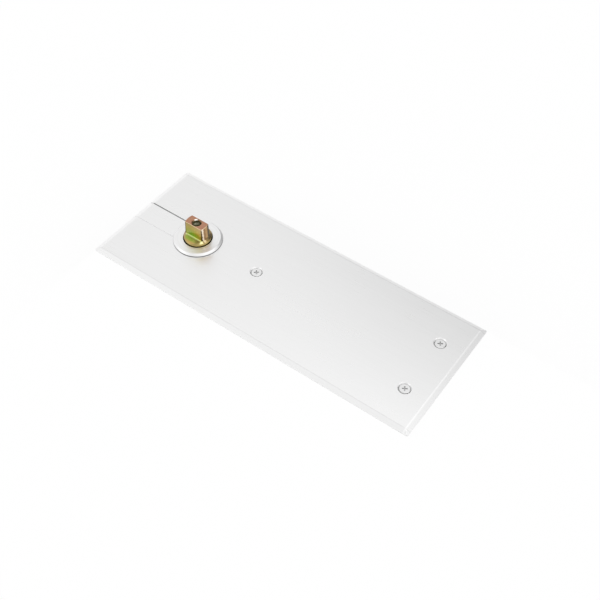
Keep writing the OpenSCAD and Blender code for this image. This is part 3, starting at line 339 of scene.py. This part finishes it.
def ring_steel(shader):
    """Turned stainless with a dark line of painted shade along its foot on the cover."""
    finish = turned(shader, (0.89, 0.89, 0.89), 0.40, 1500.0, 0.2 * MM)
    z = shader.parts(shader.place())[2]
    # painted shade: a dark line where the ring stands on the cover
    painted_shade = shader.close_to(z, COVER_HIGH.z, 0.35 * MM, 0.75 * MM)
    finish["Base Color"] = shader.mix(shader.math("MULTIPLY", painted_shade, 0.75), finish["Base Color"],
                                      (0.06, 0.06, 0.06))
    return finish


def bearing_steel(shader):
    """Ground steel with faint turning lines, for the bearings, the slide and its rollers."""
    return turned(shader, (0.74, 0.75, 0.77), 0.18, 2200.0, 0.15 * MM)


def box_steel(shader):
    """Galvanised sheet: a spangle of zinc crystals, each with its own grey and gloss."""
    place = shader.place()
    noise = shader.add("ShaderNodeTexNoise", {"Vector": place, "Scale": 160.0, "Detail": 3.0})
    wobble = shader.scale(noise.outputs["Color"], 7.0 * MM)
    crystal = shader.cells(shader.vector_math("ADD", place, wobble), 170.0)
    frost = shader.noise(place, 1500.0, 3.0)
    grey = shader.math("ADD", shader.math("MULTIPLY", shader.parts(crystal)[0], 0.7),
                       shader.math("MULTIPLY", frost, 0.3))
    stain = shader.noise(place, 14.0, 5.0, 0.6)
    colour = shader.mix(grey, (0.50, 0.515, 0.53), (0.60, 0.61, 0.62))
    dull = shader.mix(shader.range(stain, 0.5, 0.75, 0.0, 0.55), colour, (0.47, 0.47, 0.465))
    return {
        "Base Color": dull,
        "Metallic": 0.9,
        "Roughness": shader.range(grey, 0.0, 1.0, 0.34, 0.5),
        "Normal": shader.bump(grey, 0.12, 0.04 * MM, shader.soft_edges(0.3 * MM)),
    }


def zinc_steel(shader):
    """Bright zinc plating with a slight haze."""
    place = shader.place()
    haze = shader.noise(place, 60.0, 4.0)
    grain = shader.noise(place, 2600.0, 3.0)
    return {
        "Base Color": shader.mix(haze, (0.64, 0.66, 0.70), (0.78, 0.78, 0.77)),
        "Metallic": 1.0,
        "Roughness": shader.range(haze, 0.3, 0.7, 0.22, 0.36),
        "Normal": shader.bump(grain, 0.15, 0.02 * MM, shader.soft_edges(0.15 * MM)),
    }


def casting(shader):
    """Grey paint over sand-cast iron, rubbed to the metal here and there."""
    place = shader.place()
    sand = shader.noise(place, 900.0, 6.0, 0.65)
    patch = shader.noise(place, 45.0, 5.0, 0.6)
    paint = shader.mix(patch, (0.120, 0.128, 0.136), (0.175, 0.183, 0.190))
    rubbed = shader.range(patch, 0.66, 0.74, 0.0, 0.5)
    return {
        "Base Color": shader.mix(rubbed, paint, (0.30, 0.29, 0.28)),
        "Metallic": shader.math("MULTIPLY", rubbed, 0.8),
        "Roughness": shader.range(sand, 0.3, 0.7, 0.42, 0.62),
        "Normal": shader.bump(sand, 0.5, 0.15 * MM, shader.soft_edges(0.4 * MM)),
    }


def dark_steel(shader):
    """Hardened steel, dark and oily."""
    place = shader.place()
    oil = shader.noise(place, 120.0, 4.0)
    grain = shader.noise(place, 1800.0, 3.0)
    return {
        "Base Color": shader.mix(oil, (0.085, 0.088, 0.095), (0.150, 0.150, 0.155)),
        "Metallic": 0.85,
        "Roughness": shader.range(oil, 0.3, 0.7, 0.24, 0.42),
        "Normal": shader.bump(grain, 0.2, 0.03 * MM, shader.soft_edges(0.15 * MM)),
    }


def bronze(shader):
    """Turned bronze."""
    return turned(shader, (0.62, 0.42, 0.17), 0.25, 1200.0, 0.15 * MM)


def rubber(shader):
    """Black rubber with a little dust."""
    place = shader.place()
    dust = shader.noise(place, 300.0, 5.0, 0.7)
    return {
        "Base Color": shader.mix(dust, (0.012, 0.012, 0.013), (0.040, 0.039, 0.037)),
        "Roughness": shader.range(dust, 0.3, 0.7, 0.55, 0.8),
        "Normal": shader.bump(dust, 0.3, 0.05 * MM),
    }


def chromate_flat(shader, x, z, drift):
    """The tang's flats: green low down near the middle, then olive, gold and tan, lighter to the far end,
    with a painted shade line at their ends.
    """
    across = shader.math("DIVIDE", shader.math("SUBTRACT", x, GREEN_X), BANDS_W)
    rise = shader.math("DIVIDE", shader.math("SUBTRACT", z, GREEN_Z), BANDS_H)
    away = shader.radius(across, rise)
    body = shader.ramp(shader.math("ADD", shader.math("MULTIPLY", away, 0.8), drift), [
        (0.0, (0.26, 0.40, 0.13)), (0.20, (0.35, 0.43, 0.10)), (0.30, (0.34, 0.36, 0.07)),
        (0.42, (0.35, 0.32, 0.07)), (0.53, (0.40, 0.32, 0.08)), (0.7, (0.37, 0.28, 0.095)),
        (1.0, (0.38, 0.26, 0.12)),
    ])
    lift = shader.range(x, -7.0 * MM, 3.0 * MM, 1.4, 1.0)
    # painted shade: a dark line along each end of the flats
    edge = shader.close_to(shader.math("ABSOLUTE", x), FLAT_END_X, 0.25 * MM, 0.6 * MM)
    return shader.mix(shader.math("MULTIPLY", edge, 0.9), shader.scale(body, lift), (0.08, 0.05, 0.02))


def chromate_end(shader, y, drift):
    """The tang's rounded ends: chromate brown and gold laid out as painted reflection bands, with a pale
    painted highlight beside the corner.
    """
    across = shader.range(y, -TANG_HALF_Y, TANG_HALF_Y, 0.0, 1.0)
    # painted reflection bands across the end, with a pale painted highlight near the corner
    return shader.ramp(shader.math("ADD", across, drift), [
        (0.0, (0.05, 0.03, 0.015)), (0.12, (0.08, 0.05, 0.015)), (0.24, (0.12, 0.07, 0.02)),
        (0.33, (0.50, 0.31, 0.13)), (0.45, (0.60, 0.37, 0.16)), (0.58, (0.36, 0.21, 0.09)),
        (0.68, (0.27, 0.15, 0.06)), (0.76, (0.38, 0.24, 0.13)), (0.81, (0.80, 0.66, 0.50)),
        (0.89, (0.85, 0.75, 0.60)), (0.935, (0.14, 0.09, 0.03)), (1.0, (0.07, 0.05, 0.02)),
    ])


def chromate_slope(shader, x, y, drift):
    """The milled slopes beside the tang: green and olive, gold towards the rim."""
    along = shader.math("ADD", shader.range(x, -SLOPE_X, SLOPE_X, 0.0, 1.0), drift)
    inner = shader.ramp(along, [
        (0.0, (0.36, 0.29, 0.09)), (0.2, (0.26, 0.22, 0.06)), (0.38, (0.36, 0.41, 0.09)),
        (0.55, (0.29, 0.40, 0.06)), (0.8, (0.31, 0.41, 0.065)), (1.0, (0.40, 0.38, 0.13)),
    ])
    outward = shader.range(shader.math("ABSOLUTE", y), SLOPE_GREEN_Y, SLOPE_GOLD_Y, 0.0, 1.0)
    return shader.mix(shader.math("ADD", outward, drift, clamp=True), inner, (0.55, 0.36, 0.13))


def chromate_cone(shader, x, y, drift):
    """The cone at the tang's ends: chromate colour in painted reflection bands that run round the axis, with
    a bright yellow painted highlight.
    """
    turn = shader.math("FRACT", shader.math("DIVIDE", shader.math("ARCTAN2", y, x), math.pi))
    # painted reflection bands round the axis, with a bright yellow painted highlight
    return shader.ramp(shader.math("ADD", turn, shader.math("MULTIPLY", drift, 0.3)), [
        (0.0, (0.30, 0.22, 0.10)), (0.08, (0.26, 0.19, 0.10)), (0.16, (0.40, 0.30, 0.20)),
        (0.26, (0.44, 0.32, 0.18)), (0.76, (0.36, 0.29, 0.10)), (0.80, (0.98, 0.92, 0.48)),
        (0.84, (0.90, 0.80, 0.40)), (0.87, (0.22, 0.14, 0.04)), (0.92, (0.70, 0.56, 0.34)),
        (0.96, (0.30, 0.20, 0.07)), (1.0, (0.22, 0.16, 0.07)),
    ])


def chromate_hole(shader, turn, z, on_wall):
    """The hole and its countersink: olive and brown, with painted highlights on the wall and the countersink
    on the side away from the camera.
    """
    aside = shader.math("ABSOLUTE", shader.math("SUBTRACT", turn, GLINT_TURN))
    height = shader.range(z, HOLE_OLIVE_Z, HOLE_DARK_Z, 0.0, 1.0)
    wall = shader.mix(height, (0.30, 0.30, 0.12), (0.10, 0.09, 0.03))
    # painted highlight: a bright spot on the hole's wall
    glint = shader.math("MULTIPLY", shader.range(aside, 0.3, 0.9, 1.0, 0.0),
                        shader.close_to(z, GLINT_Z, 0.3 * MM, 1.2 * MM))
    wall = shader.mix(glint, wall, (0.95, 0.92, 0.70))
    # painted highlight: a bright spot on the countersink
    sink = shader.mix(shader.range(aside, 0.2, 0.5, 1.0, 0.0), (0.26, 0.15, 0.08), (0.98, 0.92, 0.84))
    return shader.mix(on_wall, sink, wall)


def chromate_tang(shader, x, y, z, ny, nz, stain, drift):
    """The tang: flats and rounded ends, a pink top, and a pale painted highlight on the edge between them.
    """
    facing_y = shader.range(shader.math("ABSOLUTE", ny), 0.5, 0.9, 0.0, 1.0)
    sides = shader.mix(facing_y, chromate_end(shader, y, drift), chromate_flat(shader, x, z, drift))
    top = shader.mix(stain, (0.44, 0.20, 0.13), (0.52, 0.29, 0.18))
    colour = shader.mix(shader.range(nz, 0.93, 0.99, 0.0, 1.0), sides, top)
    # painted highlight: a pale line on the edge round the tang's top
    by_top = shader.range(z, TANG_TOP_Z - 0.35 * MM, TANG_TOP_Z - 0.3 * MM, 0.0, 1.0)
    edge = shader.math("MULTIPLY", by_top, shader.range(nz, 0.93, 0.99, 0.8, 0.0))
    return shader.mix(edge, colour, (0.88, 0.70, 0.48))


def chromate_head(shader, x, y, z, ny, nz, tang, drift):
    """The head under the tang: slopes and cone, a painted highlight line at the tang's foot, and the gold
    rim.
    """
    shoulder = shader.mix(shader.range(nz, 0.86, 0.93, 0.0, 1.0),
                          chromate_cone(shader, x, y, drift), chromate_slope(shader, x, y, drift))
    below_tang = shader.range(z, TANG_FOOT_Z + 0.05 * MM, TANG_FOOT_Z, 0.0, 1.0)
    colour = shader.mix(below_tang, tang, shoulder)
    # painted highlight: a bright line along the tang's foot beside the flats
    at_foot = shader.close_to(z, TANG_FOOT_Z, 0.06 * MM, 0.26 * MM)
    near_flat = shader.range(shader.math("ABSOLUTE", ny), 0.1, 0.15, 0.0, 0.85)
    colour = shader.mix(shader.math("MULTIPLY", at_foot, near_flat), colour, (0.88, 0.93, 0.50))
    rim = shader.range(z, RIM_TOP_Z, RIM_TOP_Z - 0.1 * MM, 0.0, 1.0)
    return shader.mix(rim, colour, (0.45, 0.35, 0.13))


def chromate_steel(shader):
    """Yellow chromate: pink on the tang's top, bands of green, gold and brown on its sides, partly painted
    reflections, with painted highlights on the edges, the tang's foot and in the hole.
    """
    place = shader.place()
    x, y, z = shader.parts(place)
    ny, nz = shader.parts(shader.normal())[1:]
    radius = shader.radius(x, y)
    turn = shader.math("ARCTAN2", y, x)
    stain = shader.noise(place, 420.0, 3.0)
    drift = shader.range(stain, 0.3, 0.7, -0.05, 0.05)

    colour = chromate_tang(shader, x, y, z, ny, nz, stain, drift)
    colour = chromate_head(shader, x, y, z, ny, nz, colour, drift)
    in_sink = shader.math("MULTIPLY", shader.range(radius, SINK_R, SINK_R + 0.05 * MM, 1.0, 0.0),
                          shader.range(nz, 0.93, 0.99, 1.0, 0.0))
    in_hole = shader.range(radius, HOLE_R + 0.03 * MM, HOLE_R + 0.08 * MM, 1.0, 0.0)
    colour = shader.mix(shader.math("MAXIMUM", in_sink, in_hole), colour,
                        chromate_hole(shader, turn, z, in_hole))

    climb = shader.math("MULTIPLY", z, 2 * math.pi / THREAD_PITCH)
    thread = shader.math("SINE", shader.math("ADD", turn, climb))
    grain = shader.bump(stain, 0.1, 0.02 * MM, shader.soft_edges(0.25 * MM))
    return {
        "Base Color": colour,
        "Metallic": shader.range(in_hole, 0.0, 1.0, 1.0, 0.4),
        "Roughness": shader.range(stain, 0.3, 0.7, 0.16, 0.26),
        "Normal": shader.bump(shader.math("MULTIPLY", thread, in_hole), 1.0, 0.3 * MM, grain),
    }


FINISHES = {
    "cover_steel": cover_steel,
    "ring_steel": ring_steel,
    "screw_steel": screw_steel,
    "box_steel": box_steel,
    "zinc_steel": zinc_steel,
    "casting": casting,
    "dark_steel": dark_steel,
    "bearing_steel": bearing_steel,
    "chromate_steel": chromate_steel,
    "bronze": bronze,
    "rubber": rubber,
}


def paint_nodes():
    """Gives every CAD node the finish of its slot in the record."""
    materials = {slot: principled(slot, build) for slot, build in FINISHES.items()}
    for part in frame["record"]["subparts"]:
        node = frame["nodes"][part["node"]]
        node.data.materials.clear()
        node.data.materials.append(materials[part["material_slot"]])


# ---- the main spring ----


def build_spring():
    """The main spring as a piece of the scene, with its own copy of the mesh, hung on the closer's body."""
    node = frame["nodes"]["main_spring"]
    spring = bpy.data.objects.new("main_spring_coils", node.data.copy())
    bpy.context.scene.collection.objects.link(spring)
    spring.matrix_world = node.matrix_world
    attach(spring, "closer")
    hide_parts("main_spring")
    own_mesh(spring)


# ---- stage ----


def stage_material():
    """White to the camera, to gloss and through glass, with the object's shadow kept on it."""
    material = bpy.data.materials.new("white_floor")
    shader = empty_shader(material)
    plain = shader.add("ShaderNodeBsdfDiffuse", {"Color": (0.98, 0.98, 0.98, 1.0)})
    glow = shader.add("ShaderNodeEmission", {"Color": (1.0, 1.0, 1.0, 1.0), "Strength": 1.0})
    path = shader.add("ShaderNodeLightPath").outputs
    seen = shader.math("MAXIMUM", path["Is Camera Ray"], path["Is Glossy Ray"])
    seen = shader.math("MAXIMUM", seen, path["Is Transmission Ray"])
    share = shader.math("MULTIPLY", seen, WHITE_SHARE)
    mixed = shader.add("ShaderNodeMixShader", {0: share, 1: plain.outputs[0], 2: glow.outputs[0]})
    shader.add("ShaderNodeOutputMaterial", {0: mixed.outputs[0]})
    return material


def block(name, outline, z0, z1, material):
    """An upright block over an outline, for the stage."""
    count = len(outline)
    corners = [(x, y, z) for z in (z0, z1) for x, y in outline]
    faces = [list(range(count))[::-1], list(range(count, 2 * count))]
    faces += [[i, (i + 1) % count, (i + 1) % count + count, i + count] for i in range(count)]
    mesh = bpy.data.meshes.new(name)
    mesh.from_pydata(corners, [], faces)
    mesh.materials.append(material)
    obj = bpy.data.objects.new(name, mesh)
    bpy.context.scene.collection.objects.link(obj)


def build_stage():
    """A lower floor that the box stands on, and a higher one just under the cover's rim.

    The higher floor lies only beyond the cover's +Y side and its far end, so that the box stays
    open to view from the other two sides.
    """
    white = stage_material()
    far = FLOOR_REACH
    block("lower_floor", [(-far, -far), (far, -far), (far, far), (-far, far)],
          PIT_FLOOR_Z - FLOOR_T, PIT_FLOOR_Z, white)
    under_x = COVER_LOW.x + FLOOR_LAP
    under_y = COVER_HIGH.y - FLOOR_LAP
    outline = [
        (COVER_HIGH.x, under_y), (COVER_HIGH.x, far), (-far, far), (-far, COVER_LOW.y),
        (under_x, COVER_LOW.y), (under_x, under_y),
    ]
    block("finished_floor", outline, PIT_FLOOR_Z, FLOOR_TOP_Z, white)


# ---- camera and sky ----


def build_camera():
    """The photograph's camera, turned by its right, top and back directions."""
    data = bpy.data.cameras.new("camera")
    data.lens = CAMERA_LENS
    data.sensor_width = CAMERA_SENSOR
    data.clip_start = 0.01
    data.clip_end = 50.0
    camera = bpy.data.objects.new("camera", data)
    bpy.context.scene.collection.objects.link(camera)
    right = CAMERA_RIGHT.normalized()
    back = right.cross(CAMERA_UP).normalized()
    up = back.cross(right)
    turn = Matrix((right, up, back)).transposed().to_4x4()
    camera.matrix_world = Matrix.Translation(CAMERA_PLACE) @ turn
    bpy.context.scene.camera = camera


# The sky's even level, and its soft patches: direction, tightness, and how much light they add there
SKY_LEVEL = 1.01
SKY_PATCHES = [
    ((0.05, -0.40, 0.92), 14.0, 0.16),
    ((-0.12, -0.45, 0.88), 25.0, 0.12),
    ((0.20, -0.50, 0.84), 40.0, 0.30),
    ((-0.55, -0.30, 0.78), 14.0, 0.56),
    ((0.60, -0.80, 0.02), 14.0, 0.20),
    ((0.50, 0.75, 0.45), 30.0, 0.60),
    ((-0.45, 0.45, 0.77), 20.0, 0.25),
    ((0.10, -0.85, 0.52), 10.0, -0.42),
    ((-0.45, -0.75, 0.48), 14.0, -0.64),
    ((0.19, -0.66, 0.73), 60.0, -0.50),
    ((-0.18, -0.98, 0.05), 14.0, -0.50),
    ((0.62, -0.30, 0.72), 30.0, -0.12),
    ((0.25, 0.45, 0.86), 16.0, -0.05),
    ((-0.22, 0.70, 0.67), 14.0, -0.25),
]


def build_sky():
    """A white surround for the camera, and a softly uneven light tent for the object."""
    world = bpy.data.worlds.new("tent")
    bpy.context.scene.world = world
    shader = empty_shader(world)
    direction = shader.add("ShaderNodeTexCoord").outputs["Generated"]
    level = SKY_LEVEL
    for centre, tightness, amount in SKY_PATCHES:
        facing = shader.vector_math("DOT_PRODUCT", direction, Vector(centre).normalized())
        spread = shader.math("MULTIPLY", shader.math("SUBTRACT", facing, 1.0), tightness)
        patch = shader.math("MULTIPLY", shader.math("EXPONENT", spread), amount)
        level = shader.math("ADD", patch, level)
    tent = shader.add("ShaderNodeBackground", {"Color": (1.0, 1.0, 1.0, 1.0), "Strength": level})
    white = shader.add("ShaderNodeBackground", {"Color": (1.0, 1.0, 1.0, 1.0), "Strength": 1.0})
    seen = shader.add("ShaderNodeLightPath").outputs["Is Camera Ray"]
    mixed = shader.add("ShaderNodeMixShader", {0: seen, 1: tent.outputs[0], 2: white.outputs[0]})
    shader.add("ShaderNodeOutputWorld", {0: mixed.outputs[0]})


bpy.context.scene.view_settings.view_transform = "Standard"
paint_nodes()
build_spring()
build_stage()
build_camera()
build_sky()
